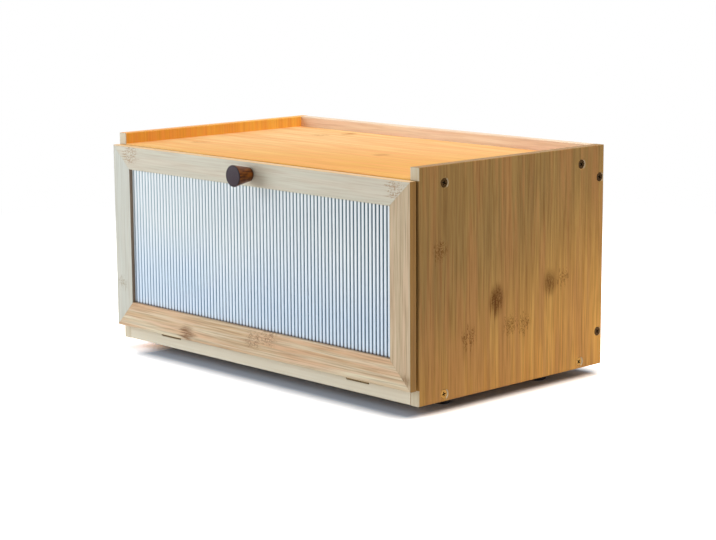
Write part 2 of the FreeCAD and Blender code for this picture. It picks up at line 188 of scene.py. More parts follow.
# %% Bamboo: scars of the culm's nodes
SCAR_FRAY = 7 * MM          # how far single fibres carry the smoke up or down
SCAR_LINE_WIDTH = 2.6 * MM
SCAR_LINE_LENGTH = 4.2 * MM
SMOKE = 1.0                 # the most of the scar's colour in the smoke
SCRIBBLE = 0.75             # and in the scribble
SMOKY = 0.6                 # from this strength on a scar is mostly smoke
SMOKY_SCRIBBLE = 0.26       # and only this much of its scribble is left
SCAR_REACH = 0.62           # a scar spreads this part of a strip's width to either side
SCAR_CORE = 0.25            # it is at its full strength up to this part of its reach
SCAR_RIM = 1.2              # and gone from here
LINE_CORE = 0.015           # how near the contour a line is dark, in the noise's own values
LINE_RIM = 0.08             # and how near it ends


def scar_amount(tree, place, along, over, fibres, marks, shift):
    """How much of the scar's colour to lay on. A mark is (along, across, length, strength), in mm."""
    fray = add(tree, "MapRange", {0: fibres, 1: 0.3, 2: 0.7, 3: -SCAR_FRAY, 4: SCAR_FRAY}).outputs[0]
    frayed = add(tree, "Math", {0: along, 1: fray}, operation="ADD").outputs[0]
    flat = add(tree, "CombineXYZ", {0: frayed, 1: over, 2: 0.0}).outputs[0]
    blot, patch = 0.0, 0.0
    for at, strip, length, strength in marks:
        reach = (length / 2 * MM, STRIP_WIDTH * SCAR_REACH)
        scaled = add(tree, "VectorMath", {0: flat, 1: (1 / reach[0], 1 / reach[1], 1.0)},
                     operation="MULTIPLY").outputs[0]
        centre = (at * MM / reach[0], (strip * MM - shift) / reach[1], 0.0)
        away = add(tree, "VectorMath", {0: scaled, 1: centre}, operation="DISTANCE").outputs["Value"]
        near = add(tree, "MapRange", {0: away, 1: SCAR_CORE, 2: SCAR_RIM, 3: strength, 4: 0.0},
                   interpolation_type="SMOOTHSTEP").outputs[0]
        if strength >= SMOKY:
            blot = add(tree, "Math", {0: blot, 1: near}, operation="MAXIMUM").outputs[0]
            near = add(tree, "Math", {0: near, 1: SMOKY_SCRIBBLE},
                       operation="MULTIPLY").outputs[0]
        patch = add(tree, "Math", {0: patch, 1: near}, operation="MAXIMUM").outputs[0]
    streaky = add(tree, "MapRange", {0: fibres, 1: 0.34, 2: 0.62, 3: 0.5, 4: 1.0}).outputs[0]
    smoke = add(tree, "MapRange", {0: blot, 1: 0.04, 2: 0.85, 3: 0.0, 4: SMOKE}).outputs[0]
    smoke = add(tree, "Math", {0: smoke, 1: streaky}, operation="MULTIPLY").outputs[0]
    wander = drawn_noise(tree, place, SCAR_LINE_LENGTH, SCAR_LINE_WIDTH, 1.0, (7.0, 3.0, 0.0), 1.2)
    off_line = add(tree, "Math", {0: wander, 1: 0.5}, operation="SUBTRACT").outputs[0]
    off_line = add(tree, "Math", {0: off_line}, operation="ABSOLUTE").outputs[0]
    line = add(tree, "MapRange", {0: off_line, 1: LINE_CORE, 2: LINE_RIM,
                                  3: SCRIBBLE, 4: 0.0}).outputs[0]
    drawn = add(tree, "MapRange", {0: patch, 1: 0.08, 2: 0.34}).outputs[0]
    line = add(tree, "Math", {0: line, 1: drawn}, operation="MULTIPLY").outputs[0]
    return add(tree, "Math", {0: smoke, 1: line}, operation="ADD", use_clamp=True).outputs[0]


print(f"the scribble's lines wander by about {SCAR_LINE_LENGTH / MM:.1f} mm")

# %% [markdown]
# A board's long edges are painted lighter or darker by the way they face the lamps: painted light on
# the front edges and painted shade on others. Its tone also drifts from one end to the other as
# painted light. The edges could be given a second material, but the frame's meshes stay untouched.
# So the material looks at which way each face points in the board's own space, and lays the edge's
# painted light or shade on where that is along the across axis.

# %% Bamboo: which faces are a board's long edges
EDGE_FROM = 0.3             # a face starts to be an edge when this much of its normal is on the axis
EDGE_FULL = 0.5             # and is one in full from here
# The countersinks' walls that face forward keep part of the edges' painted light; fresh-cut wood is
# paler there too.
INNER_EDGE = 0.5            # how much of the edge's tone is left further in


def edge_light_mask(tree, along, over, across, facing, covered):
    """Where a board's edges take their painted light or shade: 1 on the faces that look along the
    across
    axis: -1 or 1 is one way only, and 0 is both. A stretch (from, to) along the grain can be covered
    by another piece, all in mm, and there keeps no painted light. It is left at 0 where across is below
    a limit; further in, as on a countersink's wall, some of it stays."""
    normal = add(tree, "TexCoord").outputs["Normal"]
    parts = add(tree, "SeparateXYZ", {0: normal}).outputs
    if facing:
        turned = add(tree, "Math", {0: parts[AXES[across]], 1: facing}, operation="MULTIPLY")
    else:
        turned = add(tree, "Math", {0: parts[AXES[across]]}, operation="ABSOLUTE")
    edge = add(tree, "MapRange", {0: turned.outputs[0], 1: EDGE_FROM, 2: EDGE_FULL}).outputs[0]
    if covered:
        start, end, limit = (c * MM for c in covered)
        off = add(tree, "Math", {0: along, 1: (start + end) / 2}, operation="SUBTRACT").outputs[0]
        off = add(tree, "Math", {0: off}, operation="ABSOLUTE").outputs[0]
        open_air = add(tree, "Math", {0: off, 1: (end - start) / 2},
                       operation="GREATER_THAN").outputs[0]
        inner = add(tree, "Math", {0: over, 1: limit}, operation="GREATER_THAN").outputs[0]
        inner = add(tree, "Math", {0: inner, 1: INNER_EDGE}, operation="MULTIPLY").outputs[0]
        open_air = add(tree, "Math", {0: open_air, 1: inner}, operation="MAXIMUM").outputs[0]
        edge = add(tree, "Math", {0: edge, 1: open_air}, operation="MULTIPLY").outputs[0]
    return edge


def light_drift_share(tree, along, over, start, end, shift):
    """0 at one point of the board and 1 at another, each (along, across) in mm, for a painted light
    that drifts between them.
    """
    step = Vector((end[0] - start[0], end[1] - start[1], 0)) * MM
    flat = add(tree, "CombineXYZ", {0: along, 1: over, 2: 0.0}).outputs[0]
    origin = (start[0] * MM, start[1] * MM - shift, 0.0)
    rel = add(tree, "VectorMath", {0: flat, 1: origin}, operation="SUBTRACT").outputs[0]
    share = add(tree, "VectorMath", {0: rel, 1: tuple(step / step.length_squared)},
                operation="DOT_PRODUCT").outputs["Value"]
    return add(tree, "MapRange", {0: share}, interpolation_type="SMOOTHSTEP").outputs[0]


print("a face is an edge in full up to", round(math.degrees(math.acos(EDGE_FULL))),
      "degrees off the axis")

# %% [markdown]
# The material puts these together as coats, one Mix node over another: the strip's own tone, a
# painted light that drifts over the board, a rosy blush, the dark fibres, the glue lines, the scars,
# and last the edges' painted light or shade.
# The lacquer is satin: roughness about 0.45, a little more in the dark fibres, which also lie a
# tenth of a millimetre lower than the rest. A noise's values lie mostly between 0.3 and 0.7, so
# the ranges that it is mapped from begin and end about there.

# %% Bamboo: the board's material
def bamboo(name, grain, across, tones, seed, shift=0.0, marks=(), contrast=1.0, blush=0.5,
           roughness=0.45, shine=0.25, light_drift=None, edge_light_shade=None):
    """Strips along one axis, side by side along another. tones are light, dark, rosy and scar.
    light_drift is (start, end, tones) of a painted light that drifts over the board, and
    edge_light_shade is (tones, facing, covered) of the edges' painted light or shade."""
    material, tree, output = new_material(name)
    along, over, through = grain_frame(tree, grain, across, shift * MM)
    place = add(tree, "CombineXYZ", {0: along, 1: over, 2: through}).outputs[0]
    share, strip = strip_numbers(tree, over, seed)
    apart = add(tree, "VectorMath", {0: strip.outputs["Color"], 1: (STRIP_APART,) * 3},
                operation="MULTIPLY").outputs[0]
    fibres = drawn_noise(tree, place, FIBRE_LENGTH, FIBRE_WIDTH, 3.0, apart)
    streaks = drawn_noise(tree, place, STREAK_LENGTH, STREAK_WIDTH, 2.0, apart)
    hue = drawn_noise(tree, place, HUE_LENGTH, HUE_WIDTH, 1.0, (float(seed), 0.0, 0.0))

    tone = add(tree, "MapRange", {0: strip.outputs["Value"], 3: 0.5 - STRIP_CONTRAST * contrast,
                                  4: 0.5 + STRIP_CONTRAST * contrast}).outputs[0]
    swing = add(tree, "MapRange", {0: streaks, 1: 0.3, 2: 0.7, 3: -STREAK_CONTRAST * contrast,
                                   4: STREAK_CONTRAST * contrast}).outputs[0]
    tone = add(tree, "Math", {0: tone, 1: swing}, operation="ADD", use_clamp=True).outputs[0]

    pairs = {"board": tones[:2]}
    if light_drift:
        pairs["far end"] = light_drift[2]
    if edge_light_shade:
        pairs["edge"] = edge_light_shade[0]
    toned = {}
    for part, (light, dark) in pairs.items():
        toned[part] = add(tree, "Mix", {"Factor": tone, 6: linear(dark), 7: linear(light)},
                          data_type="RGBA").outputs[2]

    colour = toned["board"]
    rosy, scar = map(linear, tones[2:])
    coats = []
    if light_drift:
        coats.append((light_drift_share(tree, along, over, *light_drift[:2], shift * MM), toned["far end"]))
    coats.append((add(tree, "MapRange", {0: hue, 1: 0.44, 2: 0.62, 3: 0.0, 4: blush}).outputs[0],
                  rosy))
    coats.append((add(tree, "MapRange", {0: fibres, 1: 0.44, 2: 0.70, 3: 0.0,
                                         4: FIBRE_DARK * contrast}).outputs[0], scar))
    coats.append((add(tree, "MapRange", {0: share, 1: 0.0, 2: GLUE_LINE / STRIP_WIDTH,
                                         3: GLUE_DARK * contrast, 4: 0.0}).outputs[0], scar))
    if marks:
        coats.append((scar_amount(tree, place, along, over, fibres, marks, shift * MM), scar))
    if edge_light_shade:
        coats.append((edge_light_mask(tree, along, over, across, *edge_light_shade[1:]), toned["edge"]))
    for amount, coat in coats:
        colour = add(tree, "Mix", {"Factor": amount, 6: colour, 7: coat},
                     data_type="RGBA").outputs[2]

    rough = add(tree, "MapRange", {0: fibres, 3: roughness - FIBRE_ROUGH,
                                   4: roughness + FIBRE_ROUGH}).outputs[0]
    rounded = add(tree, "Bevel", {"Radius": EASED_EDGE}, samples=4).outputs[0]
    height = add(tree, "Math", {0: 1.0, 1: fibres}, operation="SUBTRACT").outputs[0]
    bump = add(tree, "Bump", {"Height": height, "Strength": 0.3, "Distance": FIBRE_DENT,
                              "Normal": rounded}).outputs[0]
    shader = add(tree, "BsdfPrincipled", {"Base Color": colour, "Roughness": rough, "Normal": bump,
                                          "IOR": 1.5, "Specular IOR Level": shine})
    tree.links.new(shader.outputs[0], output.inputs[0])
    print(f"{name}: scars {len(marks)}, nodes {len(tree.nodes)}")
    return material


# %% [markdown]
# Each board is given its own strips, tones and scars. The tones differ partly as they do between
# real boards and partly as painted light and shade: the face of the door's frame and the front
# edges are painted paler than the sides and the top, as painted light of a cool lamp in front, the
# top and the left side's inner face are painted bright and drift lighter towards the rear, as painted
# light, and the right side is painted olive brown at its top front, as painted shade, drifting to gold
# at its low rear, as painted light. Its lacquer is thinner and shines less, which keeps its scars a
# deep brown. The front edges of the sides are painted pale where they are open to the light, above and
# below the door, as painted light, and keep the colour of honey behind it, where the door shades them.

# %% Bamboo: the carcass boards
SCAR_LENGTHS = (14, 24)     # in mm
SCAR_STRENGTHS = (0.4, 0.9)


def scattered(seed, count, along, across):
    """Scars strewn over a board at random, in mm, the same on each run."""
    rng = random.Random(seed)
    return [(rng.uniform(*along), rng.uniform(*across), rng.uniform(*SCAR_LENGTHS),
             rng.uniform(*SCAR_STRENGTHS)) for _ in range(count)]


def top_of(node_name):
    """The height of a node's highest point, in mm."""
    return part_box(node_name)[1].z / MM


# Tones are light, dark, rosy and scar; those of an edge's or a far end's painted light or shade are
# light and dark. Besides the boards' own tones, faces that look towards the lamps are given lighter
# tones and the right side darker ones, as painted light and shade.
OLIVE = ("#AE8C54", "#8E7043", "#BA8452", "#643A00")
GOLD_LIT = ("#F6BD65", "#E1A051")
AMBER = ("#F2B64C", "#E4922C", "#F2A04C", "#A86018")
AMBER_REAR_LIT = ("#FFCE60", "#FFB03E")
SUNNY = ("#ECB65C", "#DC9C42", "#EDA460", "#BC7A34")
SUNNY_REAR_LIT = ("#FFDC9E", "#F4C080")
ROSY = ("#FAE6CC", "#EBCCA8", "#EECBAE", "#B68A60")
CREAM = ("#DDB886", "#C79C62", "#D2A57C", "#7E5226")
FRONT_LIT_EDGE = ("#DFD4BC", "#D0BF9E")
BASE_FRONT_LIT_EDGE = ("#ECE3CC", "#DDCFB3")

RIGHT_SIDE_SCARS = [
    (138.3, -77.9, 19, 0.59), (86.0, -9.0, 31, 1.0), (93.0, 59.1, 26, 0.7),
    (95.0, 76.0, 13, 0.45), (62.5, 8.0, 18, 0.52), (61.0, 25.2, 17, 0.58), (60.3, -43.4, 17, 0.58),
]
# The door covers the sides' front edges from its bottom to its top; there they are left without their
# painted light, as painted shade.
DOOR_DEPTH = -90            # the front edges that the door covers lie in front of this, in mm
BEHIND_DOOR = (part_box("door_bottom_rail")[0].z / MM, top_of("door_top_rail"), DOOR_DEPTH)

paint("right_side_panel", bamboo("bamboo_laminated_right_side", "z", "y", OLIVE, 3, shift=-0.7,
                                 marks=RIGHT_SIDE_SCARS, edge_light_shade=(FRONT_LIT_EDGE, -1, BEHIND_DOOR),
                                 light_drift=((175, 20), (0, 110), GOLD_LIT), shine=0.08))
paint("left_side_panel", bamboo("bamboo_laminated_left_side", "z", "y", AMBER, 11, shift=4.0,
                                marks=scattered(5, 6, (20, 190), (-95, 120)), contrast=0.5,
                                light_drift=((0, -70), (0, 120), AMBER_REAR_LIT),
                                edge_light_shade=(FRONT_LIT_EDGE, -1, BEHIND_DOOR)))
paint("top_panel", bamboo("bamboo_laminated_top", "x", "y", SUNNY, 23, contrast=0.8,
                          light_drift=((60, -95), (-60, 110), SUNNY_REAR_LIT), roughness=0.62,
                          marks=scattered(8, 4, (-180, 180), (-95, 110))))
paint("back_panel", bamboo("bamboo_laminated_back", "x", "z", ROSY, 31, shift=2.0, contrast=0.8,
                           marks=scattered(13, 7, (-180, 180), (20, 200))))
paint("bottom_panel", bamboo("bamboo_laminated_base", "x", "y", CREAM, 41, shift=3.0, contrast=0.8,
                             marks=scattered(17, 5, (-180, 180), (-95, 110)),
                             edge_light_shade=(BASE_FRONT_LIT_EDGE, -1, None)))
print("carcass boards:", sum("_laminated_" in m.name for m in bpy.data.materials))

# %% Bamboo: the door frame
# The frame's faces are given paler, cooler tones than the carcass: partly the pieces' own tones, partly
# painted light of the cool lamp in front. The edge tones are painted light and shade: the top rail's
# top edge warm, as lit from above, and the stiles' side edges grey-brown and brown, as painted shade.
COOL_PALE = ("#D4D4C9", "#C4C1B0", "#D8CDBB", "#97825E")
PALE = ("#D9D3BF", "#C6BDA6", "#DBC9B0", "#A07448")
WARM = ("#E4D6B6", "#CBA67A", "#DCAC82", "#825A32")
SAND = ("#D9C4A3", "#C0A782", "#D0AE8A", "#7C5A2C")
WARM_TOP_LIT_EDGE = ("#E8C898", "#D6AE7C")
SHADED_EDGE = ("#8E7B68", "#7A6753")
BROWN_SHADED_EDGE = ("#9C7438", "#85602A")

paint("door_top_rail", bamboo("bamboo_frame_top_rail", "x", "z", PALE, 51, shift=8.0,
                              marks=[(-172, 190, 26, 0.55), (180, 190, 20, 0.55)], contrast=0.6,
                              blush=0.3, edge_light_shade=(WARM_TOP_LIT_EDGE, 1, None)))
paint("door_bottom_rail", bamboo("bamboo_frame_bottom_rail", "x", "z", WARM, 61, contrast=1.2,
                                 blush=0.6, marks=[(-92.5, 29.0, 22, 0.85), (20.4, 43.5, 26, 0.58),
                                                   (2.0, 38.0, 26, 0.5)]))
paint("door_left_stile", bamboo("bamboo_frame_left_stile", "z", "x", COOL_PALE, 71, shift=1.0,
                                marks=[(65.3, -190, 11, 0.5)], contrast=0.6, blush=0.2,
                                edge_light_shade=(SHADED_EDGE, 0, None)))
paint("door_right_stile", bamboo("bamboo_frame_right_stile", "z", "x", SAND, 81, contrast=1.2,
                                 marks=[(33.2, 191.4, 11, 0.6)], edge_light_shade=(BROWN_SHADED_EDGE, 0, None)))
print("bamboo materials:", sum(m.name.startswith("bamboo") for m in bpy.data.materials))

# %% [markdown]
# ## Steel, bronze, plastic and rubber
#
# The small hardware is simple to describe: a metal is a metallic surface whose roughness comes
# from how it was worked, and a plastic or rubber has a colour and the grain of its mould. One
# function makes them all, with a fine noise that varies the roughness and dents the surface. Real
# grains are a few tenths of a millimetre at most, so they are drawn coarser here to show at all.

# %% Hardware: one function for worked and moulded surfaces
def plain_finish(name, hex_colour, dark_hex, grain, metallic, roughness, spread, dent):
    """A metal, plastic or rubber whose tone and roughness vary with a noise of this grain size."""
    material, tree, output = new_material(name)
    place = add(tree, "TexCoord").outputs["Object"]
    noise = add(tree, "TexNoise", {"Vector": place, "Scale": 1 / grain, "Detail": 3.0}).outputs["Fac"]
    colour = add(tree, "Mix", {"Factor": noise, 6: linear(dark_hex), 7: linear(hex_colour)},
                 data_type="RGBA").outputs[2]
    rough = add(tree, "MapRange", {0: noise, 1: 0.3, 2: 0.7, 3: roughness + spread,
                                   4: roughness - spread}).outputs[0]
    bump = add(tree, "Bump", {"Height": noise, "Strength": 0.4, "Distance": dent}).outputs[0]
    shader = add(tree, "BsdfPrincipled", {"Base Color": colour, "Roughness": rough,
                                          "Metallic": metallic, "Normal": bump})
    tree.links.new(shader.outputs[0], output.inputs[0])
    print(f"{name}: grain {grain / MM:.1f} mm, roughness {roughness}")
    return material


# %% Hardware: the finishes
# Bright zinc plating is smooth with faint spangles, so it mirrors softly.
zinc_steel = plain_finish("steel_zinc_plated", "#B9BCBE", "#8E9194", 1.2 * MM,
                          1.0, 0.34, 0.10, 0.02 * MM)
# Antique bronze is brass darkened in a bath and wiped, so brown lies over a yellow metal.
antique_bronze = plain_finish("brass_antique_bronzed", "#8A7148", "#4A3A20", 1.5 * MM,
                              1.0, 0.42, 0.12, 0.03 * MM)
# Ferrite is pressed and fired like a ceramic: charcoal and quite matte.
ferrite = plain_finish("ferrite_sintered", "#34353A", "#1F2024", 0.6 * MM,
                       0.0, 0.75, 0.10, 0.03 * MM)
# The catch's housing is moulded polypropylene: half matte, with a fine spark-eroded grain.
catch_plastic = plain_finish("polypropylene_moulded_brown", "#5A3A22", "#4A2E1A", 0.5 * MM,
                             0.0, 0.5, 0.08, 0.03 * MM)
# Moulded rubber swallows light: black, rough, and faintly orange-peeled.
rubber = plain_finish("rubber_moulded_black", "#1C1C1D", "#101011", 0.6 * MM,
                      0.0, 0.8, 0.08, 0.05 * MM)

for side in ("left", "right"):
    for leaf in ("fixed_leaf", "moving_leaf", "pin"):
        paint(f"{side}_hinge_{leaf}", antique_bronze)
for name in ("catch_pole_plates", "strike_plate"):
    paint(name, zinc_steel)
paint("catch_magnet", ferrite)
paint("catch_housing", catch_plastic)
for name in ("front_feet", "rear_feet"):
    paint(name, rubber)

# %% [markdown]
# The wood screws in the sides are yellow-passivated steel with a brassy skin. The upper screws are
# painted olive brown and the low ones golden: a painted reflection, dark above and bright below, with
# random stains over it. Their recesses are painted near black, as painted shade. The heads' faces lie
# 0.6 mm below the boards' faces.

# %% Hardware: the side screws' finish
SIDE_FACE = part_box("right_side_panel")[1].x
HEAD_SINK = 0.6 * MM
# How much further out the heads lie than the frame's do.
HEAD_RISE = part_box("right_side_panel")[1].x - HEAD_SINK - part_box("right_side_screws")[1].x
# The heads' painted reflection is golden below this height and dark above the next.
BRIGHT_REFLECTION_BELOW = 25 * MM
DARK_REFLECTION_ABOVE = 36 * MM
STAIN_SIZE = 1.2 * MM
# The cross recess is painted near black, as painted shade.
RECESS_FROM = 0.06 * MM     # below the head's face by this much it starts to be dark
RECESS_DEEP = 0.30 * MM     # and from here it is black


def passivated_steel(name):
    """Brassy plated steel with a painted reflection that darkens upwards, and painted shade in the
    recess.
    """
    material, tree, output = new_material(name)
    place = add(tree, "TexCoord").outputs["Object"]
    parts = add(tree, "SeparateXYZ", {0: place}).outputs
    height = add(tree, "MapRange", {0: parts[2], 1: BRIGHT_REFLECTION_BELOW, 2: DARK_REFLECTION_ABOVE}).outputs[0]
    noise = add(tree, "TexNoise", {"Vector": place, "Scale": 1 / STAIN_SIZE, "Detail": 2.0})
    stain = add(tree, "MapRange", {0: noise.outputs["Fac"], 3: -0.3, 4: 0.3}).outputs[0]
    dark_reflection_and_stain = add(tree, "Math", {0: height, 1: stain}, operation="ADD", use_clamp=True).outputs[0]
    depth = add(tree, "Math", {0: parts[0]}, operation="ABSOLUTE").outputs[0]
    face = SIDE_FACE - HEAD_SINK
    recess = add(tree, "MapRange", {0: depth, 1: face - RECESS_DEEP, 2: face - RECESS_FROM,
                                    3: 1.0, 4: 0.0}).outputs[0]
    colour = linear("#94713A")
    # The dark coat is the painted reflection on the upper screws, the black one the recess's painted
    # shade.
    for amount, coat in ((dark_reflection_and_stain, "#3E2A12"), (recess, "#080603")):
        colour = add(tree, "Mix", {"Factor": amount, 6: colour, 7: linear(coat)},
                     data_type="RGBA").outputs[2]
    shader = add(tree, "BsdfPrincipled", {"Base Color": colour, "Metallic": 1.0, "Roughness": 0.4})
    tree.links.new(shader.outputs[0], output.inputs[0])
    print(f"{name}: heads lie at x = {face / MM:.1f} mm")
    return material


side_screw_steel = passivated_steel("steel_yellow_passivated")

# %% [markdown]
# ## The reeded pane
#
# Reeded acrylic is extruded with round ribs side by side on one face. Each rib is a small
# cylindrical lens: it squeezes what is behind it into a thin bright stripe, and the grooves between
# the ribs go dark. The ribs here are real geometry, an arc repeated along the sheet, because the
# highlights that run down them depend on the true curve.

# %% Pane: the ribbed sheet
RIB_PITCH = 4.43 * MM
RIB_DEPTH = 0.8 * MM
ARC_STEPS = 10


def ribbed_outline(low, high):
    """The pane's outline from above: a row of arcs on the front, flat on the back."""
    middle = (low.x + high.x) / 2
    count = int((high.x - low.x) / RIB_PITCH)
    first = middle - count * RIB_PITCH / 2
    radius = ((RIB_PITCH / 2) ** 2 + RIB_DEPTH ** 2) / (2 * RIB_DEPTH)
    half_angle = math.asin(RIB_PITCH / 2 / radius)
    points = [(low.x, low.y + RIB_DEPTH)]
    for rib in range(count):
        centre = first + (rib + 0.5) * RIB_PITCH
        for step in range(ARC_STEPS + (rib == count - 1)):
            angle = (2 * step / ARC_STEPS - 1) * half_angle
            points.append((centre + radius * math.sin(angle),
                           low.y + radius * (1 - math.cos(angle))))
    points.append((high.x, low.y + RIB_DEPTH))
    return points + [(high.x, high.y), (low.x, high.y)]


def extruded(name, outline, bottom, top):
    """A closed mesh from an outline of (x, y) points drawn up from one height to another."""
    mesh = bpy.data.meshes.new(name)
    count = len(outline)
    verts = [(x, y, z) for z in (bottom, top) for x, y in outline]
    sides = [(i, (i + 1) % count, (i + 1) % count + count, i + count) for i in range(count)]
    caps = [tuple(reversed(range(count))), tuple(range(count, 2 * count))]
    mesh.from_pydata(verts, [], sides + caps)
    piece = bpy.data.objects.new(name, mesh)
    bpy.context.scene.collection.objects.link(piece)
    return piece


def shade_smooth(piece, degrees=35):
    """Smooth shading that keeps every edge sharper than this."""
    for polygon in piece.data.polygons:
        polygon.use_smooth = True
    piece.data.set_sharp_from_angle(angle=math.radians(degrees))


pane_low, pane_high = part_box("fluted_window_pane")
pane = extruded("reeded_pane", ribbed_outline(pane_low, pane_high), pane_low.z, pane_high.z)
shade_smooth(pane)
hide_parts("fluted_window_pane")
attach(pane, "door")
print("pane faces:", len(pane.data.polygons))

# %% [markdown]
# The acrylic is drawn milky, so it scatters most of the light that falls on it. Each rib's crest is
# painted white, a painted highlight, and the grooves between the ribs are painted grey-blue, the
# painted shade and cool tint of the box inside. The grooves are painted wider and darker towards the
# right and cooler towards the bottom. Just above the bottom rail they are painted dark, the painted
# shade of the groove that the sheet stands in. Glass alone would show an empty box and hardly any
# ribs, so highlights and grooves are coloured by where a point lies across its rib and on the sheet.

# %% Pane: hazed acrylic with a cool cast
SIGHT_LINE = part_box("door_bottom_rail")[1].z
# The painted cool tint of the box's inside seen through the pane is full low on the pane, gone higher
# up, and varies in clouds.
COOL_BELOW = 50 * MM        # the cool cast is full up to this height
PLAIN_ABOVE = 150 * MM      # and gone from here
CLOUD_SIZE = 111.1 * MM
# Across each rib, the grooves' painted shade begins and is darkest at these shares.
GROOVE_FROM = 0.28          # a groove begins at this share of a rib's width from the crest
GROOVE_FULL = 0.45          # and is at its darkest here
RIGHTWARD_GROOVE_WIDENING = 0.07            # towards the right, the grooves' painted shade reads wider by up to this share
CLEARNESS = 0.06            # how much of the light goes through
# The ribs' painted highlight and the grooves' painted shade at the left and at the right, each plain
# and with the cool tint.
RIB_HIGHLIGHT = ("#FBFFFF", "#E0F0FE")              # plain, and with the cool cast
LEFT_GROOVE_SHADE = ("#A2BAC4", "#567CA0")
RIGHT_GROOVE_SHADE = ("#2E5262", "#1E4C68")


def rib_share(tree, x):
    """0 on a rib's crest and 0.5 in the groove beside it."""
    count = add(tree, "Math", {0: x, 1: RIB_PITCH}, operation="DIVIDE").outputs[0]
    offset = 0.0 if int((pane_high.x - pane_low.x) / RIB_PITCH) % 2 == 0 else 0.5
    share = add(tree, "Math", {0: count, 1: offset}, operation="ADD").outputs[0]
    share = add(tree, "Math", {0: share}, operation="FRACT").outputs[0]
    share = add(tree, "Math", {0: share, 1: 0.5}, operation="SUBTRACT").outputs[0]
    return add(tree, "Math", {0: share}, operation="ABSOLUTE").outputs[0]


def acrylic(name):
    """Slightly milky acrylic with painted white highlights on its ribs and painted grey-blue shade in
    the grooves between them.
    """
    material, tree, output = new_material(name)
    place = add(tree, "TexCoord").outputs["Object"]
    parts = add(tree, "SeparateXYZ", {0: place}).outputs
    rightward = add(tree, "MapRange", {0: parts[0], 1: pane_low.x, 2: pane_high.x}).outputs[0]
    wider = add(tree, "Math", {0: rightward, 1: RIGHTWARD_GROOVE_WIDENING}, operation="MULTIPLY").outputs[0]
    share = add(tree, "Math", {0: rib_share(tree, parts[0]), 1: wider}, operation="ADD").outputs[0]
    groove = add(tree, "MapRange", {0: share, 1: GROOVE_FROM, 2: GROOVE_FULL},
                 interpolation_type="SMOOTHSTEP").outputs[0]
    lower = add(tree, "MapRange", {0: parts[2], 1: COOL_BELOW, 2: PLAIN_ABOVE, 3: 1.0, 4: 0.0},
                interpolation_type="SMOOTHSTEP").outputs[0]
    cloud = add(tree, "TexNoise", {"Vector": place, "Scale": 1 / CLOUD_SIZE,
                                   "Detail": 1.0}).outputs["Fac"]
    cloud = add(tree, "MapRange", {0: cloud, 1: 0.3, 2: 0.7, 3: -0.2, 4: 0.2}).outputs[0]
    cool = add(tree, "Math", {0: lower, 1: cloud}, operation="ADD", use_clamp=True).outputs[0]
    # Each tone is mixed towards its cool tint; the grooves' painted shade darkens from left to right.
    rib, left_groove_shade, clear = (add(tree, "Mix", {"Factor": cool, 6: linear(plain), 7: linear(cold)},
                             data_type="RGBA").outputs[2]
                         for plain, cold in (RIB_HIGHLIGHT, LEFT_GROOVE_SHADE, RIGHT_GROOVE_SHADE))
    line = add(tree, "Mix", {"Factor": rightward, 6: left_groove_shade, 7: clear}, data_type="RGBA").outputs[2]
    # Just above the bottom rail the grooves are painted dark, as painted shade of the rail's groove.
    groove_shade_above_rail = add(tree, "MapRange", {0: parts[2], 1: SIGHT_LINE + 0.5 * MM, 2: SIGHT_LINE + 5 * MM,
                                 3: 0.85, 4: 0.0}).outputs[0]
    line = add(tree, "Mix", {"Factor": groove_shade_above_rail, 6: line, 7: linear("#3A2E2C")},
               data_type="RGBA").outputs[2]
    colour = add(tree, "Mix", {"Factor": groove, 6: rib, 7: line}, data_type="RGBA").outputs[2]
    # At the rail itself the pane is painted darker still, a painted contact shade.
    rail_contact_shade = add(tree, "MapRange", {0: parts[2], 1: SIGHT_LINE + 0.3 * MM, 2: SIGHT_LINE + 1.8 * MM,
                                  3: 0.75, 4: 0.0}).outputs[0]
    colour = add(tree, "Mix", {"Factor": rail_contact_shade, 6: colour, 7: linear("#4A3C3A")},
                 data_type="RGBA").outputs[2]
    shader = add(tree, "BsdfPrincipled", {"Base Color": colour, "Roughness": 0.12, "IOR": 1.49,
                                          "Transmission Weight": CLEARNESS})
    tree.links.new(shader.outputs[0], output.inputs[0])
    print(f"{name}: ribs every {RIB_PITCH / MM:.2f} mm")
    return material


pane.data.materials.append(acrylic("acrylic_extruded_reeded"))

# %% [markdown]
# ## The knob
#
# The knob is turned on a lathe from a dark hardwood and stained: it widens from the neck on the
# door to a flat face, and both rims are rounded over with sandpaper. A lathe's work is a profile
# spun round an axis, so that is how it is made here.

# %% Knob: a profile spun round the axis
LATHE_SEGMENTS = 96
RIM_STEPS = 8


def lathe(name, profile, base, direction):
    """Spins (radius, distance) points round an axis that starts at base."""
    mesh = bpy.data.meshes.new(name)
    turn = direction.to_track_quat("Z", "Y").to_matrix().to_4x4()
    place = Matrix.Translation(base) @ turn
    verts, faces = [], []
    for radius, distance in profile:
        for s in range(LATHE_SEGMENTS):
            angle = 2 * math.pi * s / LATHE_SEGMENTS
            verts.append(place @ Vector((radius * math.cos(angle), radius * math.sin(angle),
                                         distance)))
    for ring in range(len(profile) - 1):
        for s in range(LATHE_SEGMENTS):
            a, b = ring * LATHE_SEGMENTS + s, ring * LATHE_SEGMENTS + (s + 1) % LATHE_SEGMENTS
            faces.append((a, b, b + LATHE_SEGMENTS, a + LATHE_SEGMENTS))
    last = (len(profile) - 1) * LATHE_SEGMENTS
    faces.append(tuple(reversed(range(LATHE_SEGMENTS))))
    faces.append(tuple(range(last, last + LATHE_SEGMENTS)))
    mesh.from_pydata(verts, [], faces)
    piece = bpy.data.objects.new(name, mesh)
    bpy.context.scene.collection.objects.link(piece)
    return piece


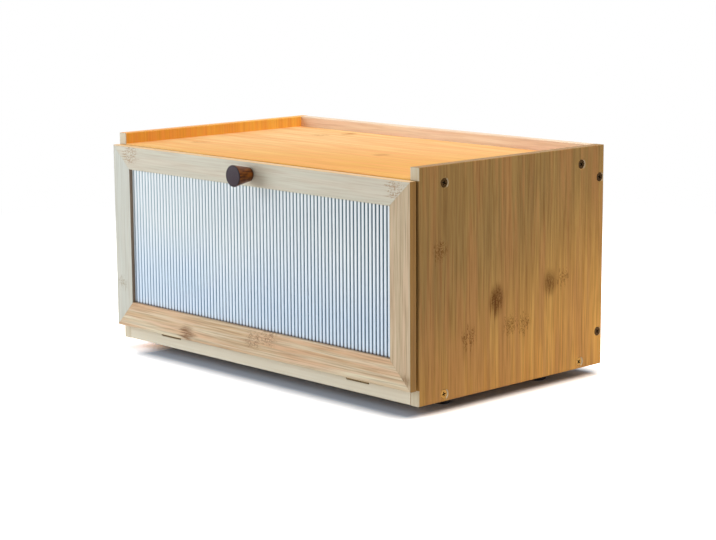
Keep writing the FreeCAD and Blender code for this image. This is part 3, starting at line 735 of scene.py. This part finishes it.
def rounded_rim(centre_radius, centre_distance, size, start, end):
    """Points on an arc of this radius, between two angles in degrees, in the profile's plane."""
    angles = [math.radians(start + (end - start) * i / RIM_STEPS) for i in range(RIM_STEPS + 1)]
    return [(centre_radius + size * math.cos(a), centre_distance + size * math.sin(a))
            for a in angles]


knob_low, knob_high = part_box("knob")
knob_length = knob_high.y - knob_low.y
knob_axis = Vector(((knob_low.x + knob_high.x) / 2, knob_high.y, (knob_low.z + knob_high.z) / 2))
FACE_RADIUS = (knob_high.x - knob_low.x) / 2
NECK_RADIUS = 6.25 * MM
FACE_RIM = 0.9 * MM
NECK_RIM = 1.3 * MM

profile = rounded_rim(NECK_RADIUS - NECK_RIM, NECK_RIM, NECK_RIM, -90, -10)
profile += rounded_rim(FACE_RADIUS - FACE_RIM, knob_length - FACE_RIM, FACE_RIM, -10, 90)
knob = lathe("turned_knob", profile, knob_axis, Vector((0, -1, 0)))
shade_smooth(knob)
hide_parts("knob")
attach(knob, "door")
print(f"knob: {knob_length / MM:.1f} mm long, {2 * FACE_RADIUS / MM:.1f} mm across its face")

# %% [markdown]
# Walnut is a brown wood with darker pores along the grain, and the grain runs along the knob. Its
# face is end grain: it drinks more stain than the flank and goes darker, and its cold, greyish plum
# cast is partly a painted sheen. The face is darker towards its rim, and the flank is painted darker
# just before the door, as painted shade where it meets it. The flank keeps a warm orange brown. A thin
# satin varnish lies over both. The tones are worked out from where a point lies on the turned shape,
# so nothing has to be unwrapped.

# %% Knob: stained and varnished walnut
GRAIN_WIDTH = 1.6 * MM
GRAIN_LENGTH = 30 * MM
PORE_WIDTH = 0.5 * MM       # real pores are about 0.2 mm; drawn wider so that they show
PORE_LENGTH = 9 * MM
# The face is darker towards its rim, and the flank is painted darker before the door, as painted shade.
RIM_SHADE = (1.6 * MM, 0.5 * MM)    # the face darkens from and up to this far inside its rim
NECK_SHADE = (3.5 * MM, 0.5 * MM)   # and the flank from and up to this far before the door


def walnut(name):
    """Stained walnut: a dark face of end grain with a painted cold sheen, and a warm flank painted
    darker by the door as painted shade, under satin varnish.
    """
    material, tree, output = new_material(name)
    coordinates = add(tree, "TexCoord").outputs
    place = coordinates["Object"]
    drawn = add(tree, "VectorMath", {0: place, 1: (1 / GRAIN_WIDTH, 1 / GRAIN_LENGTH, 1 / GRAIN_WIDTH)},
                operation="MULTIPLY").outputs[0]
    grain = add(tree, "TexNoise", {"Vector": drawn, "Scale": 1.0, "Detail": 4.0}).outputs["Fac"]
    grain = add(tree, "MapRange", {0: grain, 1: 0.36, 2: 0.64}).outputs[0]
    pores = add(tree, "VectorMath", {0: place, 1: (1 / PORE_WIDTH, 1 / PORE_LENGTH, 1 / PORE_WIDTH)},
                operation="MULTIPLY").outputs[0]
    pores = add(tree, "TexNoise", {"Vector": pores, "Scale": 1.0, "Detail": 1.0}).outputs["Fac"]
    pores = add(tree, "MapRange", {0: pores, 1: 0.58, 2: 0.72, 3: 0.0, 4: 0.6}).outputs[0]
    out = add(tree, "SeparateXYZ", {0: coordinates["Normal"]}).outputs[1]
    end_grain_and_sheen = add(tree, "MapRange", {0: out, 1: -0.3, 2: -0.7}).outputs[0]
    from_axis = add(tree, "VectorMath", {0: place, 1: tuple(knob_axis)},
                    operation="SUBTRACT").outputs[0]
    from_axis = add(tree, "VectorMath", {0: from_axis, 1: (1.0, 0.0, 1.0)},
                    operation="MULTIPLY").outputs[0]
    radius = add(tree, "VectorMath", {0: from_axis}, operation="LENGTH").outputs["Value"]
    rim = add(tree, "MapRange", {0: radius, 1: FACE_RADIUS - RIM_SHADE[0],
                                 2: FACE_RADIUS - RIM_SHADE[1], 3: 0.0, 4: 0.7}).outputs[0]
    rim = add(tree, "Math", {0: rim, 1: end_grain_and_sheen}, operation="MULTIPLY").outputs[0]
    depth = add(tree, "SeparateXYZ", {0: place}).outputs[1]
    neck_shade = add(tree, "MapRange", {0: depth, 1: knob_high.y - NECK_SHADE[0],
                                  2: knob_high.y - NECK_SHADE[1], 3: 0.0, 4: 0.85}).outputs[0]
    colour = add(tree, "Mix", {"Factor": grain, 6: linear("#3E1C05"), 7: linear("#7A4410")},
                 data_type="RGBA").outputs[2]
    # The face's end grain and painted sheen, its darker rim, the neck's painted shade, and the pores.
    for amount, coat in ((end_grain_and_sheen, "#2B1822"), (rim, "#0E0505"), (neck_shade, "#180A04"),
                         (pores, "#1E110B")):
        colour = add(tree, "Mix", {"Factor": amount, 6: colour, 7: linear(coat)},
                     data_type="RGBA").outputs[2]
    bump = add(tree, "Bump", {"Height": grain, "Strength": 0.3, "Distance": 0.1 * MM}).outputs[0]
    shader = add(tree, "BsdfPrincipled", {"Base Color": colour, "Roughness": 0.42, "IOR": 1.5,
                                          "Coat Weight": 0.05, "Coat Roughness": 0.2,
                                          "Specular IOR Level": 0.15, "Normal": bump})
    tree.links.new(shader.outputs[0], output.inputs[0])
    print(f"{name}: {len(tree.nodes)} nodes")
    return material


knob.data.materials.append(walnut("walnut_turned_stained"))

# %% [markdown]
# ## Screws with a cross recess
#
# The frame's screws are plain: a countersunk head on a shank. What the eye looks for in a screw
# head is its cross recess, so each screw is made again here with one, in the same place. The
# places come from the frame: each screw is a loose part of its node's mesh, and its box says where
# its head is.

# %% Screws: finding them in the frame
def loose_boxes(node_name):
    """The lowest and highest corner of each separate part of a node's mesh."""
    mesh = bmesh.new()
    mesh.from_mesh(NODES[node_name].data)
    bmesh.ops.remove_doubles(mesh, verts=mesh.verts, dist=1e-6)
    left, boxes = set(mesh.verts), []
    while left:
        reached, front = set(), {left.pop()}
        while front:
            vert = front.pop()
            reached.add(vert)
            front |= {edge.other_vert(vert) for edge in vert.link_edges} - reached
        left -= reached
        points = [v.co for v in reached]
        boxes.append((Vector(map(min, zip(*points))), Vector(map(max, zip(*points)))))
    mesh.free()
    return sorted(boxes, key=lambda box: tuple(box[0]))


print("screws in the right side:", len(loose_boxes("right_side_screws")))

# %% [markdown]
# The cross could be painted on the head, but only a real recess takes light and shade from every
# side. So the head and shank are turned like the knob, and a Boolean modifier cuts a tapered cross
# out of them.

# %% Screws: one screw, its recess cut by a cross
HEAD_EDGE = 0.04            # these four are parts of the head's diameter
CROSS_REACH = 0.35
CROSS_ARM = 0.16
CROSS_DEPTH = 0.22
REACH_TAPER = 0.5           # what is left of the cross's reach at its bottom
ARM_TAPER = 0.6             # and of the width of its arms
SLIMMER = 0.97              # one bar is a hair slimmer, so that the two share no faces


def cross_cutter(reach, arm, depth):
    """A tapered cross that stands in the head's face and narrows as it goes in."""
    mesh = bmesh.new()
    for turn in (0, math.pi / 2):
        made = bmesh.ops.create_cube(mesh, size=1.0)["verts"]
        for v in made:
            inward = v.co.z > 0
            v.co.x *= 2 * reach * (REACH_TAPER if inward else 1.0)
            v.co.y *= arm * (ARM_TAPER if inward else 1.0) * (1.0 if turn else SLIMMER)
            v.co.z = depth if inward else -depth
        bmesh.ops.rotate(mesh, verts=made, cent=(0, 0, 0), matrix=Matrix.Rotation(turn, 3, "Z"))
    data = bpy.data.meshes.new("cross_cutter")
    mesh.to_mesh(data)
    mesh.free()
    piece = bpy.data.objects.new("cross_cutter", data)
    bpy.context.scene.collection.objects.link(piece)
    return piece


def screw_mesh(name, head, shank, length):
    """A countersunk screw along +Z from the middle of its face, with a cross recess."""
    rim = HEAD_EDGE * head
    profile = [(head / 2 - rim, 0.0), (head / 2, rim), (shank / 2, (head - shank) / 2 + rim),
               (shank / 2, length)]
    body = lathe(name, profile, Vector(), Vector((0, 0, 1)))
    cutter = cross_cutter(CROSS_REACH * head, CROSS_ARM * head, CROSS_DEPTH * head)
    cut = body.modifiers.new("recess", "BOOLEAN")
    cut.operation = "DIFFERENCE"
    cut.solver = "EXACT"
    cut.use_self = True
    cut.object = cutter
    bpy.context.view_layer.update()
    graph = bpy.context.evaluated_depsgraph_get()
    ready = bpy.data.meshes.new_from_object(body.evaluated_get(graph))
    ready.name = name
    for scrap in (body, cutter):
        bpy.data.objects.remove(scrap)
    print(f"{name}: head {head / MM:.1f} mm across, {len(ready.polygons)} faces")
    return ready


# %% [markdown]
# A screw is driven until it is tight, not until its cross is straight, so each one is turned by a
# random angle, the same on each run.

# %% Screws: setting them in place
def set_screws(node_name, axis, sign, shank, rise, finish, slot_name, body):
    """Replaces a node's screws; each points along an axis (0, 1 or 2), forwards or backwards.
    Its head's cone can run on outwards by a rise, as far as the countersink is wide."""
    boxes = loose_boxes(node_name)
    low, high = boxes[0]
    wide = (axis + 1) % 3
    one = screw_mesh(node_name + "_mesh", high[wide] - low[wide] + 2 * rise, shank,
                     high[axis] - low[axis] + rise)
    direction = Vector([sign if i == axis else 0 for i in range(3)])
    whole = bmesh.new()
    rng = random.Random(node_name)
    for low, high in boxes:
        centre = (low + high) / 2
        centre[axis] = low[axis] - rise if sign > 0 else high[axis] + rise
        turned = direction.to_track_quat("Z", "Y").to_matrix().to_4x4() @ Matrix.Rotation(
            rng.uniform(0, math.pi / 2), 4, "Z")
        copy = one.copy()
        copy.transform(Matrix.Translation(centre) @ turned)
        whole.from_mesh(copy)
        bpy.data.meshes.remove(copy)
    data = bpy.data.meshes.new("crosshead_" + node_name)
    whole.to_mesh(data)
    whole.free()
    bpy.data.meshes.remove(one)
    piece = bpy.data.objects.new("crosshead_" + node_name, data)
    bpy.context.scene.collection.objects.link(piece)
    piece.data.materials.append(finish)
    shade_smooth(piece)
    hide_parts(node_name)
    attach(piece, body)
    print(f"{piece.name}: screws {len(boxes)}, faces {len(piece.data.polygons)}")


WOOD_SHANK = 3.8 * MM
KNOB_SHANK = 4.0 * MM
SMALL_SHANK = 2.2 * MM
ZINC = (zinc_steel, "zinc_plated_steel")
BRONZE = (antique_bronze, "antique_bronze")
PASSIVATED = (side_screw_steel, "passivated_screw_steel")
for node_name, axis, sign, shank, rise, finish, body in (
        ("left_side_screws", 0, 1, WOOD_SHANK, HEAD_RISE, PASSIVATED, "carcass"),
        ("right_side_screws", 0, -1, WOOD_SHANK, HEAD_RISE, PASSIVATED, "carcass"),
        ("fixed_leaf_screws", 2, -1, SMALL_SHANK, 0, BRONZE, "carcass"),
        ("moving_leaf_screws", 1, -1, SMALL_SHANK, 0, BRONZE, "door"),
        ("catch_screws", 2, 1, SMALL_SHANK, 0, ZINC, "carcass"),
        ("strike_screw", 1, -1, SMALL_SHANK, 0, ZINC, "door"),
        ("knob_screw", 1, -1, KNOB_SHANK, 0, ZINC, "door")):
    set_screws(node_name, axis, sign, shank, rise, *finish, body)

# %% [markdown]
# ## The floor and the background
#
# The box stands on a white sweep. The floor is a plain matte disc. What the camera, mirrors and
# glass see of it is lifted to white, but not under the box: there it is seen darker and cool-tinted,
# a painted shadow, and the lift is complete only two or three centimetres away from it, so that the
# painted shadow and the real shade close round it stay. Near the box's ends the painted shadow
# starts further in, as painted light under them. Everything else meets the floor at its plain value,
# so the lift puts no light on the box.

# %% Stage: the white floor
FLOOR_RADIUS = 6.0
PAPER = 0.8            # the paper's own brightness
PAINTED_SHADOW_LIFT = 0.85    # under the box, as a painted shadow, the floor is seen this many times as bright as it is
FLOOR_LIFT = 2.9       # and away from it this many times
LIFT_REACH = 26 * MM   # how far in front of the box and behind it the lift is complete
SIDE_REACH = 20 * MM   # and how far beside it
LIT_FROM_LEFT = 42 * MM    # painted light under the left end: the painted shadow starts this far in
LIT_FROM_RIGHT = 14 * MM   # and under the right end less far
COOL_SHADE = (0.84, 0.96, 1.12)   # the painted shadow's cool tint
NEAR_FLOOR = 0.55      # up to here, in metres, the floor shows the light and shade on it
FAR_FLOOR = 1.1        # from here on it is plain white paper


def seen_rays(tree):
    """1 for camera, mirror and glass rays, and 0 for the ones that carry light to surfaces."""
    path = add(tree, "LightPath").outputs
    seen = add(tree, "Math", {0: path["Is Camera Ray"], 1: path["Is Glossy Ray"]},
               operation="MAXIMUM").outputs[0]
    return add(tree, "Math", {0: seen, 1: path["Is Transmission Ray"]},
               operation="MAXIMUM").outputs[0]


def distance_from_box(tree, place):
    """0 under the box, where the painted shadow is, and 1 where the lift is complete; the box counts as
    shorter at both ends, for the painted light under them.
    """
    low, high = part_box("left_side_panel")[0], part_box("right_side_panel")[1]
    low.x += LIT_FROM_LEFT
    high.x -= LIT_FROM_RIGHT
    middle, half = (low + high) / 2, (high - low) / 2
    away = add(tree, "VectorMath", {0: place, 1: (middle.x, middle.y, 0.0)},
               operation="SUBTRACT").outputs[0]
    away = add(tree, "VectorMath", {0: away}, operation="ABSOLUTE").outputs[0]
    away = add(tree, "VectorMath", {0: away, 1: (half.x, half.y, 0.0)},
               operation="SUBTRACT").outputs[0]
    away = add(tree, "VectorMath", {0: away, 1: (0.0, 0.0, 0.0)}, operation="MAXIMUM").outputs[0]
    away = add(tree, "VectorMath", {0: away, 1: (1 / SIDE_REACH, 1 / LIFT_REACH, 0.0)},
               operation="MULTIPLY").outputs[0]
    return add(tree, "VectorMath", {0: away}, operation="LENGTH").outputs["Value"]


def white_floor():
    """A matte white disc whose seen brightness is lifted to a white sweep's, with a painted shadow
    under and close round the box.
    """
    mesh = bmesh.new()
    bmesh.ops.create_circle(mesh, cap_ends=True, radius=FLOOR_RADIUS, segments=96)
    data = bpy.data.meshes.new("floor")
    mesh.to_mesh(data)
    mesh.free()
    floor = bpy.data.objects.new("floor", data)
    bpy.context.scene.collection.objects.link(floor)
    material, tree, output = new_material("paper_matte_white")
    place = add(tree, "TexCoord").outputs["Object"]
    seen = seen_rays(tree)
    share = add(tree, "MapRange", {0: distance_from_box(tree, place)}).outputs[0]
    shade = [PAPER * PAINTED_SHADOW_LIFT * c for c in COOL_SHADE] + [1.0]
    lifted = add(tree, "Mix", {"Factor": share, 6: shade, 7: [PAPER * FLOOR_LIFT] * 3 + [1.0]},
                 data_type="RGBA").outputs[2]
    colour = add(tree, "Mix", {"Factor": seen, 6: [PAPER] * 3 + [1.0], 7: lifted},
                 data_type="RGBA").outputs[2]
    near = add(tree, "BsdfDiffuse", {"Color": colour}).outputs[0]
    far = add(tree, "Emission", {"Color": (1.0, 1.0, 1.0, 1.0)}).outputs[0]
    away = add(tree, "VectorMath", {0: place}, operation="LENGTH").outputs["Value"]
    white = add(tree, "MapRange", {0: away, 1: NEAR_FLOOR, 2: FAR_FLOOR},
                interpolation_type="SMOOTHSTEP").outputs[0]
    white = add(tree, "Math", {0: white, 1: seen}, operation="MULTIPLY").outputs[0]
    shader = add(tree, "MixShader", {0: white, 1: near, 2: far})
    tree.links.new(shader.outputs[0], output.inputs[0])
    data.materials.append(material)
    floor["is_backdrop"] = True
    print(f"floor: seen as plain white from {FAR_FLOOR} m out")


white_floor()

# %% [markdown]
# The room is a plain colour all round, which lights the box evenly and throws no shade. It is white
# where it is seen and much dimmer as a light, so the lamps still shape the box. A picture of a real
# room wrapped round it would give richer reflections, but a satin lacquer hardly shows them.

# %% Stage: the surroundings
AMBIENT = 0.30         # how brightly the room alone lights a white card


def surroundings():
    """White where it is seen, and a soft cool light on everything else."""
    world = bpy.data.worlds.new("white_room")
    bpy.context.scene.world = world
    world.use_nodes = True
    tree = world.node_tree
    tree.nodes.clear()
    soft = [AMBIENT * c for c in linear("#EEF4FF")[:3]] + [1.0]
    colour = add(tree, "Mix", {"Factor": seen_rays(tree), 6: soft, 7: (1.0, 1.0, 1.0, 1.0)},
                 data_type="RGBA").outputs[2]
    light = add(tree, "Background", {"Color": colour})
    output = add(tree, "OutputWorld")
    tree.links.new(light.outputs[0], output.inputs[0])
    print("surroundings light a card to", AMBIENT)


surroundings()

# %% [markdown]
# ## Lamps
#
# Three soft boxes light the box as in a product studio: one almost straight above and a little
# behind, which draws the shade forwards, a wide low one to the front left, and a smaller one high on
# the right. Each is described by how bright it makes a white card that faces it, where 1 is white. A
# lamp's watts follow from that, because a card at distance d from a lamp of power P is lit to
# P / (pi * d)^2.

# %% Lamps: soft boxes by level
LAMP_AIM = Vector((0, 0, 100)) * MM


def softbox(name, azimuth, elevation, distance, size, level, hex_colour):
    """A square lamp that looks at the box, with distance and size in metres.
    Azimuth 0 is in front of the door, and 90 is beside the right side."""
    a, e = math.radians(azimuth), math.radians(elevation)
    away = Vector((math.sin(a) * math.cos(e), -math.cos(a) * math.cos(e), math.sin(e)))
    data = bpy.data.lights.new(name, "AREA")
    data.shape = "SQUARE"
    data.size = size
    data.energy = level * (math.pi * distance) ** 2
    data.color = linear(hex_colour)[:3]
    lamp = bpy.data.objects.new(name, data)
    bpy.context.scene.collection.objects.link(lamp)
    lamp.location = LAMP_AIM + away * distance
    lamp.rotation_mode = "QUATERNION"
    lamp.rotation_quaternion = away.to_track_quat("Z", "Y")
    lamp.visible_camera = False
    print(f"{name}: {data.energy:.0f} W")


softbox("overhead_softbox", -176, 80, 2.0, 0.9, 0.44, "#FFF8EE")
softbox("front_left_softbox", -42, 16, 2.0, 1.4, 0.70, "#EEF6FF")
softbox("right_softbox", 92, 48, 1.6, 0.8, 0.39, "#FFF3E2")

# %% [markdown]
# ## The camera
#
# A long lens from the front right, a little above the box, so that its edges stay nearly parallel.
# A short lens close by would frame the box just as well, but its near corner would look swollen.

# %% Camera
CAMERA_YAW = 46.51          # degrees from straight in front towards the right side
CAMERA_PITCH = 10.02        # degrees above level
CAMERA_ROLL = -0.37
CAMERA_AIM = Vector((128.2, -102.55, 115.8)) * MM
CAMERA_DISTANCE = 1.6312    # metres from the aim point
CAMERA_LENS = 97.87         # focal length in mm, on a sensor this wide
SENSOR_WIDTH = 36.0


def studio_camera():
    """A camera that looks at the aim point from its distance, turned a little about its own axis."""
    a, e = math.radians(CAMERA_YAW), math.radians(CAMERA_PITCH)
    back = Vector((math.sin(a) * math.cos(e), -math.cos(a) * math.cos(e), math.sin(e)))
    data = bpy.data.cameras.new("studio_camera")
    data.lens = CAMERA_LENS
    data.sensor_width = SENSOR_WIDTH
    camera = bpy.data.objects.new("studio_camera", data)
    bpy.context.scene.collection.objects.link(camera)
    camera.rotation_mode = "QUATERNION"
    upright = (-back).to_track_quat("-Z", "Y").to_matrix()
    tilted = upright @ Matrix.Rotation(math.radians(CAMERA_ROLL), 3, "Z")
    camera.rotation_quaternion = tilted.to_quaternion()
    camera.location = CAMERA_AIM + back * CAMERA_DISTANCE
    bpy.context.scene.camera = camera
    print(f"camera: {CAMERA_DISTANCE:.2f} m away, {CAMERA_LENS:.0f} mm lens")


studio_camera()

# %% [markdown]
# ## Finishing
#
# The view transform is set to Standard, so that colours come out as they are written. The last
# lines print the size of the frame and of what was built round it.

# %% View transform and sizes
bpy.context.scene.view_settings.view_transform = "Standard"

boxes = {"cad": CAD_BOX, "visual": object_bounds()}

for name, (low, high) in boxes.items():
    print(f"{name} box in mm:", [round((to - start) / MM, 1) for start, to in zip(low, high)])
